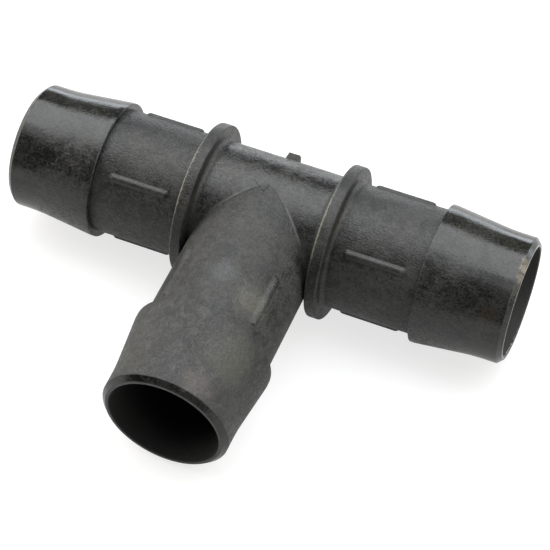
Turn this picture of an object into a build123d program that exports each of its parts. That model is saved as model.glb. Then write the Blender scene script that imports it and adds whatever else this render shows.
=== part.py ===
"""Barbed hose tee: one run along X, one branch along -Y, three barbed tails for 25 mm hose.

The tee is a single injection moulding. It is written here as its named zones, each a closed
solid that meets its neighbours face to face: the centre body, two collars, three necks, three
barbs, the grip ribs on the necks and the gate tab. Planes square to the arms divide the tube, so
no zone has a thin edge.

Frame: the origin is where the run's axis and the branch's axis cross, +X along the run, -Y out
along the branch, +Z up.
"""
from build123d import *
import os

# Driving dimensions, millimetres
HOSE_BORE = 25.0                      # inside diameter of the hose that the tee is made for
WALL = 1.7                            # wall of the necks
RUN_LENGTH = 51.3                     # from the crossing of the axes to each end of the run
BRANCH_LENGTH = 51.7                  # from the crossing of the axes to the end of the branch

NECK_R = HOSE_BORE / 2                # outside of the run's tube
BORE_R = NECK_R - WALL                # water way, the same in all three arms
BRANCH_UNDERSIZE = 0.04               # in radius, so that the branch meets the run in one clear crease

# Barb, measured outwards from its back face
BARB_RISE = 1.3                       # crest above the neck
CREST_ROUND = 0.2
CREST_LAND = 0.8                      # short cylinder on the crest
PILOT_RISE = 0.05                     # pilot above the neck
PILOT_LENGTH = 5.6                    # pilot, with the lip
CONE_BLEND = 40.0                     # radius of the hollow blend from the cone into the pilot
LIP = 0.95                            # 45 degree lip at the end of the pilot
LIP_EDGE = 0.3                       # rounding of both edges of the lip
MOUTH_ROUND = 0.3
RUN_BARB_BACK = 33.25                 # back face of the run's barbs, from the branch's axis
BRANCH_BARB_BACK = 33.55              # back face of the branch's barb, from the run's axis

# Collars on the run, one each side of the branch
COLLAR_IN = 12.75                     # inner face, from the branch's axis
COLLAR_OUT = 15.15                    # outer face
COLLAR_R = 15.43
COLLAR_EDGE = 0.35
COLLAR_ROOT = 0.9                     # hollow fillet at both roots
COLLAR_FOOT = 1.2                     # tube that belongs to the collar on each side of it

# Branch root
CREASE_R = 1.0                        # fillet between the branch and the run
ROOT_END = 16.4                       # where the centre body hands over to the branch's neck

# Grip ribs on the necks, at the diagonals
RIB_COUNT = 4
RIB_WIDTH = 1.6
RIB_HEIGHT = 0.5
RIB_FOOT = 0.3                        # hollow fillet round the foot
RIB_LENGTH = 12.3
RUN_RIB_START = 18.0                  # from the crossing of the axes
BRANCH_RIB_START = 18.9

# Gate tab at the back of the centre body
TAB_ANGLE = 30.0                      # above the level of the axes
TAB_BASE = 2.95
TAB_TOP = 2.25
TAB_DEPTH = 1.6
TAB_HEIGHT = 1.4
TAB_EDGE = 0.2

# Arms: name, turn about Z, neck radius, back and end of the barb, start of the neck and of the ribs
ARMS = (
    ("right", 0, NECK_R, RUN_BARB_BACK, RUN_LENGTH, COLLAR_OUT + COLLAR_FOOT, RUN_RIB_START),
    ("left", 180, NECK_R, RUN_BARB_BACK, RUN_LENGTH, COLLAR_OUT + COLLAR_FOOT, RUN_RIB_START),
    ("branch", -90, NECK_R - BRANCH_UNDERSIZE, BRANCH_BARB_BACK, BRANCH_LENGTH, ROOT_END, BRANCH_RIB_START),
)


BRANCH_TURN = Rot(Z=-90)              # takes +X to the branch's direction


def turned(corners, rounds):
    """Ring turned about X from (station, radius) corners; rounds lists (corner, fillet radius)."""
    face = make_face(Polyline(*corners, close=True))
    for index, radius in rounds:
        place = Vector(*corners[index], 0)
        corner = min(face.vertices(), key=lambda v: (Vector(*v) - place).length)
        face = fillet(corner, radius)
    return revolve(face, Axis.X)


def rod(radius, start, end):
    """Cylinder about X between two stations."""
    return Pos(X=(start + end) / 2) * Rot(Y=90) * Cylinder(radius, end - start)


def tube(outer, start, end):
    """Straight length of pipe about X."""
    return rod(outer, start, end) - rod(BORE_R, start - 1, end + 1)


def barb(neck_r, back, end):
    """Barb about X: square back face, crest, long cone, pilot and lip."""
    crest = neck_r + BARB_RISE
    pilot = neck_r + PILOT_RISE
    corners = (
        (back, BORE_R),
        (back, crest),
        (back + CREST_ROUND + CREST_LAND, crest),
        (end - PILOT_LENGTH, pilot),
        (end - LIP, pilot),
        (end, pilot - LIP),
        (end, BORE_R),
    )
    rounds = ((1, CREST_ROUND), (3, CONE_BLEND), (4, LIP_EDGE), (5, LIP_EDGE), (6, MOUTH_ROUND))
    return turned(corners, rounds)


def collar():
    """Collar about X with its share of the tube wall and a hollow fillet at each root."""
    corners = (
        (COLLAR_IN - COLLAR_FOOT, BORE_R),
        (COLLAR_IN - COLLAR_FOOT, NECK_R),
        (COLLAR_IN, NECK_R),
        (COLLAR_IN, COLLAR_R),
        (COLLAR_OUT, COLLAR_R),
        (COLLAR_OUT, NECK_R),
        (COLLAR_OUT + COLLAR_FOOT, NECK_R),
        (COLLAR_OUT + COLLAR_FOOT, BORE_R),
    )
    rounds = ((2, COLLAR_ROOT), (3, COLLAR_EDGE), (4, COLLAR_EDGE), (5, COLLAR_ROOT))
    return turned(corners, rounds)


def grip_rib(neck_r, start, number):
    """Low half-round bar with domed ends that stands on a neck at one of the diagonals."""
    angle = 360 / RIB_COUNT * (number + 0.5)
    crown = (RIB_WIDTH ** 2 / 4 + RIB_HEIGHT ** 2) / (2 * RIB_HEIGHT)
    half = (RIB_LENGTH - RIB_WIDTH) / 2
    bar = Rot(Y=90) * Cylinder(crown, 2 * half) + Pos(X=-half) * Sphere(crown) + Pos(X=half) * Sphere(crown)
    bar = Pos(X=start + RIB_LENGTH / 2, Z=neck_r + RIB_HEIGHT - crown) * bar
    neck = rod(neck_r, start - 3, start + RIB_LENGTH + 3)
    both = neck + bar
    foot = [e for e in both.edges() if e.geom_type != GeomType.LINE or abs(e.center().Y) < RIB_WIDTH]
    foot = [e for e in foot if start - 1 < e.center().X < start + RIB_LENGTH + 1 and e.center().Z > 0]
    both = fillet(foot, RIB_FOOT)
    return Rot(X=angle) * (both - neck)


def centre_body():
    """Run tube between the collars with the root of the branch, both bored through."""
    branch_r = NECK_R - BRANCH_UNDERSIZE
    far = 2 * COLLAR_R
    body = rod(NECK_R, -far, far) + BRANCH_TURN * rod(branch_r, 0, ROOT_END)
    crease = [e for e in body.edges() if e.geom_type not in (GeomType.CIRCLE, GeomType.LINE)]
    body = fillet(crease, CREASE_R)
    body = body & Box(2 * COLLAR_IN, 2 * far, 2 * far)
    for turn in (Rot(Z=0), Rot(Z=180)):
        body = body - turn * rod(NECK_R, COLLAR_IN - COLLAR_FOOT, far)
        body = body - turn * collar()
    body = body - rod(BORE_R, -far, far)
    return body - BRANCH_TURN * rod(BORE_R, 0, far)


def gate_tab():
    """Tapered lug left where the plastic entered the mould, on the back of the centre body."""
    base = Rectangle(TAB_BASE, TAB_DEPTH)
    top = Pos(Z=TAB_HEIGHT) * Rectangle(TAB_TOP, TAB_DEPTH - (TAB_BASE - TAB_TOP) / 2)
    lug = loft([base, top])
    lug = fillet(lug.faces().sort_by(Axis.Z)[-1].edges(), TAB_EDGE)
    lug = lug + Pos(Z=-0.5) * Box(TAB_BASE, TAB_DEPTH, 1)
    lug = Rot(X=-(90 - TAB_ANGLE)) * Pos(Z=NECK_R) * lug
    return lug - rod(NECK_R, -TAB_BASE, TAB_BASE)


def arm_nodes(name, turn, neck_r, barb_back, barb_end, neck_start, rib_start):
    """Neck, barb and grip ribs of one arm, in place."""
    place = Rot(Z=turn)
    nodes = {
        f"{name}_neck": place * tube(neck_r, neck_start, barb_back),
        f"{name}_barb": place * barb(neck_r, barb_back, barb_end),
    }
    for number in range(RIB_COUNT):
        nodes[f"{name}_grip_rib_{number + 1}"] = place * grip_rib(neck_r, rib_start, number)
    return nodes


def build():
    """Every zone of the moulding, by node name."""
    nodes = {"centre_body": centre_body(), "gate_tab": gate_tab()}
    nodes["right_collar"] = collar()
    nodes["left_collar"] = Rot(Z=180) * collar()
    for arm in ARMS:
        nodes.update(arm_nodes(*arm))
    return nodes


if __name__ == "__main__":
    os.makedirs("parts", exist_ok=True)
    for node, shape in build().items():
        export_step(shape, f"parts/{node}.step")
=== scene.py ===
"""Looks for the barbed hose tee: moulded glass-filled nylon on a white studio table."""
import bmesh
import bpy
from collections import namedtuple
from math import acos, atan2, cos, hypot, pi, radians, sin, tan
from mathutils import Matrix, Vector
from random import Random


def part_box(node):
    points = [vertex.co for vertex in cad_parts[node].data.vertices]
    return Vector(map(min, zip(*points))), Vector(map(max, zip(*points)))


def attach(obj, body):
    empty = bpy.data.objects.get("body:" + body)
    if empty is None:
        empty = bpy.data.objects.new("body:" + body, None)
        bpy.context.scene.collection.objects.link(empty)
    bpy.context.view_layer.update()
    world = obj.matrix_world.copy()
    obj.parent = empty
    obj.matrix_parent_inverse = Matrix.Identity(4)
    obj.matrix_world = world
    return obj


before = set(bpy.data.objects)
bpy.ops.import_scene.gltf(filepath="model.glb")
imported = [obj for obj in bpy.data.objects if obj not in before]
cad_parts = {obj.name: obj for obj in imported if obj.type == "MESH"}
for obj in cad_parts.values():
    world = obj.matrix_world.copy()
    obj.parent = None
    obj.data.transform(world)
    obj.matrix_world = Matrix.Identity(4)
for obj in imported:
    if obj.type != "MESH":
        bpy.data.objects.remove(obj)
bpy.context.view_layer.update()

MM = 0.001
BORE_R = 10.8 * MM
NECK_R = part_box("right_neck")[1].z
COLLAR_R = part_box("right_collar")[1].z
COLLAR_FOOT = 1.2 * MM                    # tube that belongs to a collar on each side of its rim
ARM_END = {"run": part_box("right_barb")[1].x, "branch": -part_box("branch_barb")[0].y}

# Camera, as degrees, metres and millimetres of lens
CAMERA_AZIMUTH = 21.3
CAMERA_ELEVATION = 51.9
CAMERA_ROLL = 1.26
CAMERA_DISTANCE = 0.405
CAMERA_TARGET = Vector((3.84, -7.43, -6.53)) * MM
CAMERA_LENS = 135.9
CAMERA_SENSOR = 36.0
CAMERA_CLIP = (0.01, 20)

# Studio. Panels: name, azimuth of their arc, from and to along it (degrees up from the horizon),
# distance and width in metres, radiance in watts per square metre and steradian, colour
NEUTRAL = (0.96, 0.98, 1.0)
COOL = (0.88, 0.94, 1.0)
WARM = (1.0, 0.94, 0.80)
PANELS = (
    ("overhead", 0, 65, 138, 0.6, 1.5, 1.2, NEUTRAL),
    ("overhead_back", 0, 84, 138, 0.6, 1.3, 2.3, NEUTRAL),
    ("strip", 0, 175, 185.2, 0.35, 1.4, 3.5, COOL),
    ("window_left", -90, 5, 38, 0.6, 0.6, 4.0, WARM),
    ("window_right", 90, 8, 38, 0.6, 0.6, 2.2, WARM),
)
ROOM_LIGHT = 0.10                         # of the white room, as the tee sees it
TABLE_SIZE = 8.0
TABLE_COLOUR = (0.34, 0.34, 0.34)
TABLE_GLOW = (0.34, 0.72)                 # light box in the table, as the tee and the camera see it
TABLE_GAP = 0.02 * MM
CREST_EDGE = 1.0 * MM                     # from a barb's back face to where its crest ends

# Skins of the moulding: roughness of its glossy and dull places and the share of dull ones, the
# dark and light colours, and the depths of crackle and grain in millimetres
Skin = namedtuple("Skin", "gloss dull share dark light crackle grain")
BARB = Skin(0.13, 0.46, 0.10, (0.004, 0.004, 0.004), (0.027, 0.027, 0.025), 0.12, 0.02)
NECK = Skin(0.40, 0.60, 0.15, (0.003, 0.003, 0.003), (0.036, 0.036, 0.034), 0.06, 0.11)
RIB = Skin(0.38, 0.56, 0.15, (0.010, 0.010, 0.010), (0.036, 0.036, 0.033), 0.03, 0.04)
COLLAR = Skin(0.34, 0.54, 0.15, (0.002, 0.002, 0.002), (0.027, 0.027, 0.025), 0.06, 0.11)
CENTRE = Skin(0.22, 0.50, 0.12, (0.004, 0.004, 0.004), (0.036, 0.036, 0.033), 0.07, 0.04)
FROSTED = Skin(0.42, 0.64, 0.20, (0.002, 0.0025, 0.003), (0.043, 0.043, 0.042), 0.08, 0.12)
LIP = Skin(0.13, 0.30, 0.06, (0.003, 0.003, 0.003), (0.022, 0.022, 0.021), 0.05, 0.03)
# Colour inside the bores: the branch's is painted nearly black as shade deep in its bore
BORE_COLOUR_AND_SHADE = {"run": (0.040, 0.041, 0.040), "branch": (0.008, 0.009, 0.009)}
BORE_ROUGHNESS = 0.85
NYLON_IOR = 1.5

# Which skin a node gets: the first whose word is in the node's name
ZONES = {
    "run": (
        ("barb", BARB),
        ("neck", NECK),
        ("rib", RIB),
        ("collar", COLLAR),
        ("centre", CENTRE),
        ("", NECK),
    ),
    "branch": (("", FROSTED),),
}

# Where one skin gives way to the next: distances in from the mouth, out from the neck's surface
# and out from the bore's surface
LIP_BLEND = (1.0 * MM, 0.85 * MM)
ROOT_BLEND = (0.05 * MM, 0.30 * MM)
BORE_BLEND = (0.25 * MM, 0.10 * MM)

# Pattern of the skins. Each span runs over a noise, or over a sum of noises
FLOW = {"run": (0.6, 1, 1), "branch": (1, 0.6, 1)}    # scale that draws the veins out
SHADE_WEIGHTS = {"run": (0.5, 0.8, 0.9), "branch": (0.5, 1.0, 0.7)}   # clouds, mottle, grain
SHADE_SPAN = (0.90, 1.30)                 # dark to light
DULL_SPAN = (0.84, 0.98)                  # glossy to dull, less the skin's share
DULL_PALE = 0.3                           # how far dull places go to the light colour
CLOUDS_IN_DULL = 0.5                      # weight of the clouds beside the veins
CRACKLE_SPAN = (0.35, 0.60)               # shallow to deep crackle
CRACKLE_LEAST = 0.35                      # depth of the shallow crackle, as a share of the deep
WARM_SPAN = (0.46, 0.64)                  # neutral to olive
OLIVE = (1.06, 1.07, 0.95)                # warm tint of some of the clouds
SWELL_SIZE = 2.2 * MM
SWELL_HEIGHT = 0.03                       # in millimetres

# Barbs are rubbed smooth towards their ends and on the side away from the branch: from and to
# along the arm or forwards, and what is left of the dullness and the crackle there
RUBBED_END = (47.5 * MM, 43 * MM, 0.15)
RUBBED_BACK = (1 * MM, 7 * MM, 0.25)

# Stains and bruises, and a painted highlight along the top of the right-hand lip: place and radius
# in millimetres, strength, colour
MARKS_AND_HIGHLIGHTS = {
    "run": (
        ((47.2, -10.6, 7.0), 2.0, 0.7, (0.034, 0.025, 0.018)),
        # Painted highlight along the top of the right-hand lip
        ((50.9, -3.6, 11.5), 1.1, 0.7, (0.190, 0.165, 0.140)),
        ((50.9, -2.0, 11.9), 1.2, 0.9, (0.260, 0.225, 0.190)),
        ((50.9, -0.4, 12.1), 1.1, 0.8, (0.220, 0.190, 0.160)),
    ),
    "branch": (
        ((7.0, -27.0, 10.4), 3.8, 0.8, (0.095, 0.093, 0.077)),
        ((8.4, -40.0, 10.2), 5.5, 0.8, (0.068, 0.068, 0.057)),
        ((5.6, -48.0, 11.2), 3.2, 0.8, (0.090, 0.081, 0.072)),
        ((0.5, -24.0, 12.4), 2.8, 0.7, (0.075, 0.078, 0.081)),
        ((-4.5, -37.0, 12.5), 3.5, 0.7, (0.007, 0.008, 0.009)),
        ((0.0, -41.5, 12.9), 2.6, 0.6, (0.007, 0.008, 0.008)),
    ),
}
MARK_RAGGED = 3                           # how far the noise moves a mark's edge, in radii
MARK_SPAN = (2.7, 1.9)                    # where a ragged mark ends and is full, in radii
MARK_SPECKLE = (0.25, 0.65, 0.4)          # span of the grain, and the least strength of a mark

# Pale left-hand edge of each collar's rim: wear, with a painted highlight that is strongest on the
# upper front, where the light falls
WORN_HIGHLIGHT_COLOUR = (0.170, 0.162, 0.128)
WORN_HIGHLIGHT_RAGGED = 1.2 * MM
WORN_HIGHLIGHT_REACH = (1.05 * MM, 0.75 * MM)       # from the edge, with the ragged part
WORN_HIGHLIGHT_DEPTH = (0.48 * MM, 0.28 * MM)       # in from the rim's surface
WORN_HIGHLIGHT_TURN = 64                            # strongest here, in degrees up from the front
WORN_HIGHLIGHT_FORWARD = (13.0 * MM, 14.6 * MM)     # towards that direction
WORN_HIGHLIGHT_STRENGTH = (0.25, 0.85)

# Flash round the mouths of the run
FLASH_STEPS = 360
FLASH_SIDES = 8
FLASH_INSET = 0.24 * MM                   # in from the mouth
FLASH_OUT = 0.18 * MM                     # out from the bore's surface
FLASH_WIDTH = 0.44 * MM                   # on the branch's side
FLASH_THIN = 0.45                         # share of the width that is left on the far side
FLASH_TALL = 1.3                          # height over width
FLASH_RAGGED = (0.45, 1.0)
FLASH_LIFT = 0.03 * MM
FLASH_SIZE = 0.5 * MM                     # of the tears
FLASH_SPAN = (0.38, 0.62)                 # gap to torn edge
# Painted shade on the flash, from the back of each mouth to its front
FLASH_SHADE_FORWARD = (-4 * MM, 2 * MM)         # dark at the back to pale in front
FLASH_GAP = (0.05, 0.05, 0.048)
FLASH_PALE = (0.62, 0.58, 0.51)
FLASH_ROUGHNESS = 0.6
FLASH_RELIEF = 0.15                       # in millimetres

# Hair line at the top of the branch's root, from its left-hand end
WITNESS_POINTS = ((-3.24, -1.43), (-1.9, -2.35), (-0.36, -3.46), (-0.04, -1.48))
WITNESS_WIDTH = 0.14 * MM
WITNESS_SIDES = 6

SEED = 7


def direction(azimuth, elevation):
    """Unit vector from the origin towards a place round the tee; azimuth 0 is the branch's side."""
    a, e = radians(azimuth), radians(elevation)
    return Vector((sin(a) * cos(e), -cos(a) * cos(e), sin(e)))


def add(name, data):
    """New object in the scene for a data block."""
    obj = bpy.data.objects.new(name, data)
    bpy.context.scene.collection.objects.link(obj)
    return obj


def facing(location, back, up):
    """Placement at location whose +Z axis points along back and +Y axis along up."""
    turn = Matrix((up.cross(back), up, back)).transposed()
    return Matrix.Translation(location) @ turn.to_4x4()


def make_camera():
    """Long lens from the front right and above, aimed just below the root of the branch."""
    data = bpy.data.cameras.new("camera")
    data.lens = CAMERA_LENS
    data.sensor_width = CAMERA_SENSOR
    data.clip_start, data.clip_end = CAMERA_CLIP
    camera = add("camera", data)
    back = direction(CAMERA_AZIMUTH, CAMERA_ELEVATION)
    up = direction(CAMERA_AZIMUTH, CAMERA_ELEVATION + 90)
    place = facing(CAMERA_TARGET + back * CAMERA_DISTANCE, back, up)
    camera.matrix_world = place @ Matrix.Rotation(radians(CAMERA_ROLL), 4, "Z")
    bpy.context.scene.camera = camera


def make_panel(name, azimuth, start, end, distance, width, radiance, colour):
    """Rectangular soft light that faces the tee from an arc at the given azimuth."""
    height = 2 * distance * tan(radians((end - start) / 2))
    data = bpy.data.lights.new(name, "AREA")
    data.shape = "RECTANGLE"
    data.size = width
    data.size_y = height
    data.energy = radiance * pi * width * height
    data.color = colour
    middle = (start + end) / 2
    towards = direction(azimuth, middle)
    panel = add(name, data)
    panel.matrix_world = facing(towards * distance, towards, direction(azimuth, middle + 90))
    panel.visible_camera = False


def make_world():
    """White to the camera, dim to everything else."""
    world = bpy.data.worlds.new("room")
    world.use_nodes = True
    nodes, links = world.node_tree.nodes, world.node_tree.links
    back = nodes["Background"]
    back.inputs["Color"].default_value = (1, 1, 1, 1)
    path = nodes.new("ShaderNodeLightPath")
    level = nodes.new("ShaderNodeMapRange")
    level.inputs["To Min"].default_value = ROOM_LIGHT
    level.inputs["To Max"].default_value = 1.0
    links.new(path.outputs["Is Camera Ray"], level.inputs["Value"])
    links.new(level.outputs["Result"], back.inputs["Strength"])
    bpy.context.scene.world = world


def make_table():
    """Table top, tilted to where the tee rests: on both collars and on the crest of the branch."""
    barb_low, barb_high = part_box("branch_barb")
    reach, drop = CREST_EDGE - barb_high.y, -barb_low.z
    tilt = atan2(reach, drop) - acos(COLLAR_R / hypot(reach, drop))
    normal = Vector((0, sin(tilt), cos(tilt)))
    mesh = bpy.data.meshes.new("table")
    h = TABLE_SIZE / 2
    mesh.from_pydata([(-h, -h, 0), (h, -h, 0), (h, h, 0), (-h, h, 0)], [], [(0, 1, 2, 3)])
    table = add("table", mesh)
    middle = Matrix.Translation(normal * -(COLLAR_R + TABLE_GAP))
    table.matrix_world = middle @ Matrix.Rotation(-tilt, 4, "X")
    surface = bpy.data.materials.new("table")
    surface.use_nodes = True
    shader = surface.node_tree.nodes["Principled BSDF"]
    shader.inputs["Base Color"].default_value = (*TABLE_COLOUR, 1)
    shader.inputs["Roughness"].default_value = 0.9
    shader.inputs["Specular IOR Level"].default_value = 0.1
    shader.inputs["Emission Color"].default_value = (1, 1, 1, 1)
    nodes, links = surface.node_tree.nodes, surface.node_tree.links
    path = nodes.new("ShaderNodeLightPath")
    level = nodes.new("ShaderNodeMapRange")
    level.inputs["To Min"].default_value, level.inputs["To Max"].default_value = TABLE_GLOW
    links.new(path.outputs["Is Camera Ray"], level.inputs["Value"])
    links.new(level.outputs["Result"], shader.inputs["Emission Strength"])
    mesh.materials.append(surface)


class Recipe:
    """Short hand for building one procedural material."""

    def __init__(self, name):
        self.material = bpy.data.materials.new(name)
        self.material.use_nodes = True
        self.nodes = self.material.node_tree.nodes
        self.links = self.material.node_tree.links
        self.shader = self.nodes["Principled BSDF"]
        self.place = self.nodes.new("ShaderNodeTexCoord").outputs["Object"]

    def wire(self, source, target):
        """Joins one node's output to another's input."""
        self.links.new(source, target)

    def feed(self, socket, value):
        """Sets a socket to a number or joins it to another node's output."""
        if isinstance(value, bpy.types.NodeSocket):
            self.wire(value, socket)
        else:
            socket.default_value = value

    def noise(self, size, detail=2.0, rough=0.5, swirl=0.0, stretch=None):
        """Noise from 0 to 1 with features of about size metres; stretch scales its axes."""
        texture = self.nodes.new("ShaderNodeTexNoise")
        texture.inputs["Scale"].default_value = 1 / size
        texture.inputs["Detail"].default_value = detail
        texture.inputs["Roughness"].default_value = rough
        texture.inputs["Distortion"].default_value = swirl
        place = self.place
        if stretch:
            mapping = self.nodes.new("ShaderNodeMapping")
            mapping.inputs["Scale"].default_value = stretch
            self.wire(place, mapping.inputs["Vector"])
            place = mapping.outputs["Vector"]
        self.wire(place, texture.inputs["Vector"])
        return texture.outputs["Fac"]

    def along_out_front(self, arm):
        """Distances along the arm, out from its axis, and forwards to the branch's side."""
        split = self.nodes.new("ShaderNodeSeparateXYZ")
        self.wire(self.place, split.inputs["Vector"])
        along, side = ("Y", "X") if arm == "branch" else ("X", "Y")
        squares = [self.math("POWER", split.outputs[axis], 2) for axis in (side, "Z")]
        out = self.math("SQRT", self.math("ADD", *squares))
        front = self.math("MULTIPLY", split.outputs["Y"], -1)
        return self.math("ABSOLUTE", split.outputs[along]), out, front

    def near(self, place, radius, ragged):
        """1 at a place, fading to 0 at about radius; the ragged noise breaks up its edge."""
        node = self.nodes.new("ShaderNodeVectorMath")
        node.operation = "DISTANCE"
        self.wire(self.place, node.inputs[0])
        node.inputs[1].default_value = [c * MM for c in place]
        wander = self.math("MULTIPLY", ragged, radius * MM * MARK_RAGGED)
        edge = self.math("ADD", node.outputs["Value"], wander)
        return self.span(edge, *(radius * MM * limit for limit in MARK_SPAN))

    def span(self, value, low, high, to_low=0.0, to_high=1.0):
        """Maps low..high to to_low..to_high, clamped and smooth."""
        node = self.nodes.new("ShaderNodeMapRange")
        node.interpolation_type = "SMOOTHSTEP"
        self.feed(node.inputs["Value"], value)
        if low > high:
            low, high, to_low, to_high = high, low, to_high, to_low
        node.inputs["From Min"].default_value = low
        node.inputs["From Max"].default_value = high
        node.inputs["To Min"].default_value = to_low
        node.inputs["To Max"].default_value = to_high
        return node.outputs["Result"]

    def math(self, operation, a, b=0.0):
        """One sum on numbers or other nodes' outputs."""
        node = self.nodes.new("ShaderNodeMath")
        node.operation = operation
        self.feed(node.inputs[0], a)
        self.feed(node.inputs[1], b)
        return node.outputs["Value"]

    def blend(self, share, a, b):
        """Colour or number a where share is 0, b where it is 1."""
        node = self.nodes.new("ShaderNodeMix")
        colour = isinstance(a, tuple) or isinstance(a, bpy.types.NodeSocket) and a.type == "RGBA"
        node.data_type = "RGBA" if colour else "FLOAT"
        self.feed(node.inputs["Factor"], share)
        for socket, value in ((node.inputs["A"], a), (node.inputs["B"], b)):
            self.feed(socket, (*value, 1) if isinstance(value, tuple) else value)
        return node.outputs["Result"]

    def bump(self, height):
        """Relief from a height in millimetres."""
        node = self.nodes.new("ShaderNodeBump")
        node.inputs["Distance"].default_value = MM
        self.wire(height, node.inputs["Height"])
        return node.outputs["Normal"]


def tinted(colour, tint):
    """Colour times one factor for each channel."""
    return tuple(c * t for c, t in zip(colour, tint))


def noises(r, arm):
    """Noise fields shared by all the skins of one material, from coarse to fine."""
    fields = {
        "clouds": r.noise(8 * MM, detail=5.0, rough=0.6, swirl=0.5),
        "mottle": r.noise(1.9 * MM, detail=5.0, rough=0.7, swirl=0.8),
        "veins": r.noise(0.55 * MM, detail=4.0, rough=0.7, swirl=0.9, stretch=FLOW[arm]),
        "grain": r.noise(0.36 * MM, detail=2.0, rough=0.6),
    }
    fields["warm"] = r.span(r.noise(11 * MM, detail=3.0, swirl=0.8), *WARM_SPAN)
    weighed = zip(("clouds", "mottle", "grain"), SHADE_WEIGHTS[arm])
    parts = [r.math("MULTIPLY", fields[name], weight) for name, weight in weighed]
    fields["shade"] = r.math("ADD", r.math("ADD", parts[0], parts[1]), parts[2])
    return fields


def coat(r, skin, fields):
    """Colour, roughness and height of one skin."""
    both = r.math("ADD", fields["veins"], r.math("MULTIPLY", fields["clouds"], CLOUDS_IN_DULL))
    dullness = r.span(both, *(limit - skin.share for limit in DULL_SPAN))
    dullness = r.math("MULTIPLY", dullness, fields["wear"])
    roughness = r.span(dullness, 0, 1, skin.gloss, skin.dull)
    light = r.blend(fields["warm"], skin.light, tinted(skin.light, OLIVE))
    colour = r.blend(r.span(fields["shade"], *SHADE_SPAN), skin.dark, light)
    colour = r.blend(r.math("MULTIPLY", dullness, DULL_PALE), colour, skin.light)
    depth = r.span(fields["clouds"], *CRACKLE_SPAN, skin.crackle * CRACKLE_LEAST, skin.crackle)
    depth = r.math("MULTIPLY", depth, fields["wear"])
    height = r.math("MULTIPLY", fields["veins"], depth)
    height = r.math("ADD", height, r.math("MULTIPLY", fields["grain"], skin.grain))
    return colour, roughness, height


def worn_highlit_edge(r, out, ragged):
    """1 along the left-hand edge of both rims, broken up by a noise: wear, with a painted highlight
    strongest in front.
    """
    left, right = (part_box(f"{side}_collar")[0].x + COLLAR_FOOT for side in ("left", "right"))
    split = r.nodes.new("ShaderNodeSeparateXYZ")
    r.wire(r.place, split.inputs["Vector"])
    from_middle = r.math("ABSOLUTE", r.math("SUBTRACT", split.outputs["X"], (left + right) / 2))
    off = r.math("ABSOLUTE", r.math("SUBTRACT", from_middle, (right - left) / 2))
    off = r.math("ADD", off, r.math("MULTIPLY", ragged, WORN_HIGHLIGHT_RAGGED))
    turn = radians(WORN_HIGHLIGHT_TURN)
    forward = r.math("ADD", r.math("MULTIPLY", split.outputs["Y"], -cos(turn)),
                     r.math("MULTIPLY", split.outputs["Z"], sin(turn)))
    strength = r.span(forward, *WORN_HIGHLIGHT_FORWARD, *WORN_HIGHLIGHT_STRENGTH)
    rim = r.span(out, *(COLLAR_R - depth for depth in WORN_HIGHLIGHT_DEPTH))
    rim = r.math("MULTIPLY", r.span(off, *WORN_HIGHLIGHT_REACH), rim)
    return r.math("MULTIPLY", rim, strength)


def overlay(r, share, under, over):
    """One coat over another where share is 1."""
    return tuple(r.blend(share, a, b) for a, b in zip(under, over))


def moulded_nylon(name, skin, arm):
    """Glass-filled nylon: crackled, cloudy, finely grained, with a glossy lip and a dark bore,
    painted nearly black as shade in the branch.
    """
    r = Recipe(name)
    fields = noises(r, arm)
    along, out, front = r.along_out_front(arm)
    fields["wear"] = 1.0
    if skin is BARB:
        rubbed = r.span(along, *RUBBED_END, 1), r.span(front, *RUBBED_BACK, 1)
        fields["wear"] = r.math("MULTIPLY", *rubbed)
    look = coat(r, skin, fields)
    if skin is CENTRE:
        root = r.span(out, *(NECK_R + height for height in ROOT_BLEND))
        look = overlay(r, root, look, coat(r, FROSTED, fields))
    elif skin in (BARB, FROSTED):
        lip = r.span(along, *(ARM_END[arm] - inset for inset in LIP_BLEND))
        look = overlay(r, lip, look, coat(r, LIP, fields))
    colour, roughness, height = look
    # Stains, bruises and the painted highlight on the right-hand lip
    for place, radius, strength, mark in MARKS_AND_HIGHLIGHTS[arm]:
        share = r.math("MULTIPLY", r.near(place, radius, fields["mottle"]), strength)
        share = r.math("MULTIPLY", share, r.span(fields["grain"], *MARK_SPECKLE, 1))
        colour = r.blend(share, colour, mark)
    if skin is COLLAR:
        # Painted highlight mixed with pale wear along the left-hand edge of each rim
        colour = r.blend(worn_highlit_edge(r, out, fields["veins"]), colour, WORN_HIGHLIGHT_COLOUR)
    # Bore colour, in the branch a painted shade
    inside = r.span(out, *(BORE_R + height for height in BORE_BLEND))
    colour = r.blend(inside, colour, BORE_COLOUR_AND_SHADE[arm])
    roughness = r.blend(inside, roughness, BORE_ROUGHNESS)
    swell = r.math("MULTIPLY", r.noise(SWELL_SIZE), SWELL_HEIGHT)
    r.wire(colour, r.shader.inputs["Base Color"])
    r.wire(roughness, r.shader.inputs["Roughness"])
    r.wire(r.bump(r.math("ADD", height, swell)), r.shader.inputs["Normal"])
    r.shader.inputs["IOR"].default_value = NYLON_IOR
    return r.material


def moulding_piece(name, verts, faces, material):
    """Small piece of the moulding that is too fine for the CAD, carried by the tee."""
    mesh = bpy.data.meshes.new(name)
    mesh.from_pydata(verts, [], faces)
    mesh.materials.append(material)
    mesh.shade_smooth()
    outwards(mesh)
    piece = add(name, mesh)
    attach(piece, "root")


def outwards(mesh):
    """Turns the faces of a closed mesh so that they look outwards."""
    work = bmesh.new()
    work.from_mesh(mesh)
    bmesh.ops.recalc_face_normals(work, faces=work.faces)
    work.to_mesh(mesh)
    work.free()


def tube(paths, closed):
    """Faces that join rings of equal length into a tube."""
    rings, ring = len(paths), len(paths[0])
    verts = [v for path in paths for v in path]
    faces = []
    for i in range(rings if closed else rings - 1):
        for j in range(ring):
            here, there = i * ring, (i + 1) % rings * ring
            faces.append((here + j, here + (j + 1) % ring, there + (j + 1) % ring, there + j))
    if not closed:
        faces += [tuple(reversed(range(ring))), tuple(range(len(verts) - ring, len(verts)))]
    return verts, faces


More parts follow.
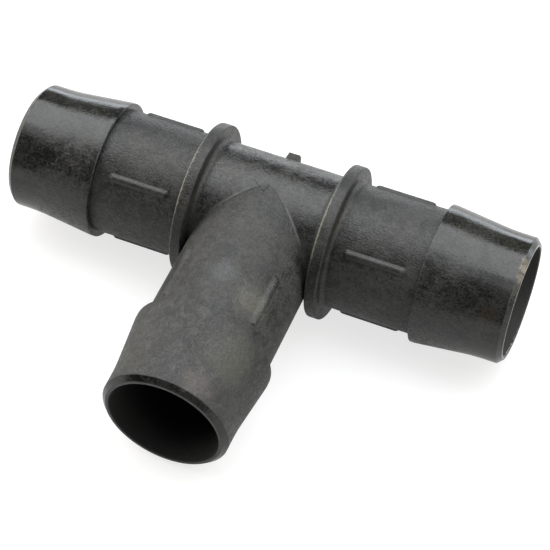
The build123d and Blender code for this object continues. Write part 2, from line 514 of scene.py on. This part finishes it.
def flash(rng):
    """Ragged burr where the run's core pin left each mouth."""
    material = flash_nylon()
    for side, sign in (("right", 1), ("left", -1)):
        paths = []
        for i in range(FLASH_STEPS):
            turn = 2 * pi * i / FLASH_STEPS
            rough = rng.uniform(*FLASH_RAGGED)
            lift = rng.uniform(-FLASH_LIFT, FLASH_LIFT)
            front = (1 - cos(turn)) / 2
            half = FLASH_WIDTH / 2 * rough * (FLASH_THIN + (1 - FLASH_THIN) * front)
            path = []
            for j in range(FLASH_SIDES):
                around = 2 * pi * j / FLASH_SIDES
                x = ARM_END["run"] - FLASH_INSET + half * cos(around)
                out = BORE_R + FLASH_OUT + lift + half * FLASH_TALL * sin(around)
                path.append((sign * x, out * cos(turn), out * sin(turn)))
            paths.append(path)
        moulding_piece(f"{side}_mouth_flash", *tube(paths, closed=True), material)


def flash_nylon():
    """Torn edge: stressed nylon that went pale, with dark gaps and a painted shade that darkens it
    towards the back.
    """
    r = Recipe("nylon_flash")
    torn = r.noise(FLASH_SIZE, detail=4.0, rough=0.7)
    front = r.along_out_front("run")[2]
    # Pale where torn, fading into painted shade towards the back of the mouth
    pale_unshaded = r.math("MULTIPLY", r.span(torn, *FLASH_SPAN), r.span(front, *FLASH_SHADE_FORWARD))
    r.wire(r.blend(pale_unshaded, FLASH_GAP, FLASH_PALE), r.shader.inputs["Base Color"])
    r.shader.inputs["Roughness"].default_value = FLASH_ROUGHNESS
    r.wire(r.bump(r.math("MULTIPLY", torn, FLASH_RELIEF)), r.shader.inputs["Normal"])
    return r.material


def witness_line(material):
    """Hair line where two mould inserts met, laid on the higher of the run and the branch."""
    turns = [2 * pi * j / WITNESS_SIDES for j in range(WITNESS_SIDES)]
    ring = [Vector((cos(turn), 0, sin(turn))) * WITNESS_WIDTH / 2 for turn in turns]
    paths = []
    for place in WITNESS_POINTS:
        x, y = (c * MM for c in place)
        centre = Vector((x, y, (NECK_R ** 2 - min(x * x, y * y)) ** 0.5))
        paths.append([centre + corner for corner in ring])
    moulding_piece("witness_line", *tube(paths, closed=False), material)


def paint():
    """Gives every node the skin of its zone, and returns the materials by arm and zone."""
    made = {}
    for name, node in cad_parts.items():
        arm = "branch" if name.startswith("branch") else "run"
        zone, skin = next(z for z in ZONES[arm] if z[0] in name)
        if (arm, zone) not in made:
            made[arm, zone] = moulded_nylon(f"nylon_{arm}_{zone or 'plain'}", skin, arm)
        node.data.materials.clear()
        node.data.materials.append(made[arm, zone])
    return made


make_camera()
for panel in PANELS:
    make_panel(*panel)
make_world()
make_table()
materials = paint()
flash(Random(SEED))
witness_line(materials["run", "rib"])
bpy.context.scene.view_settings.view_transform = "Standard"
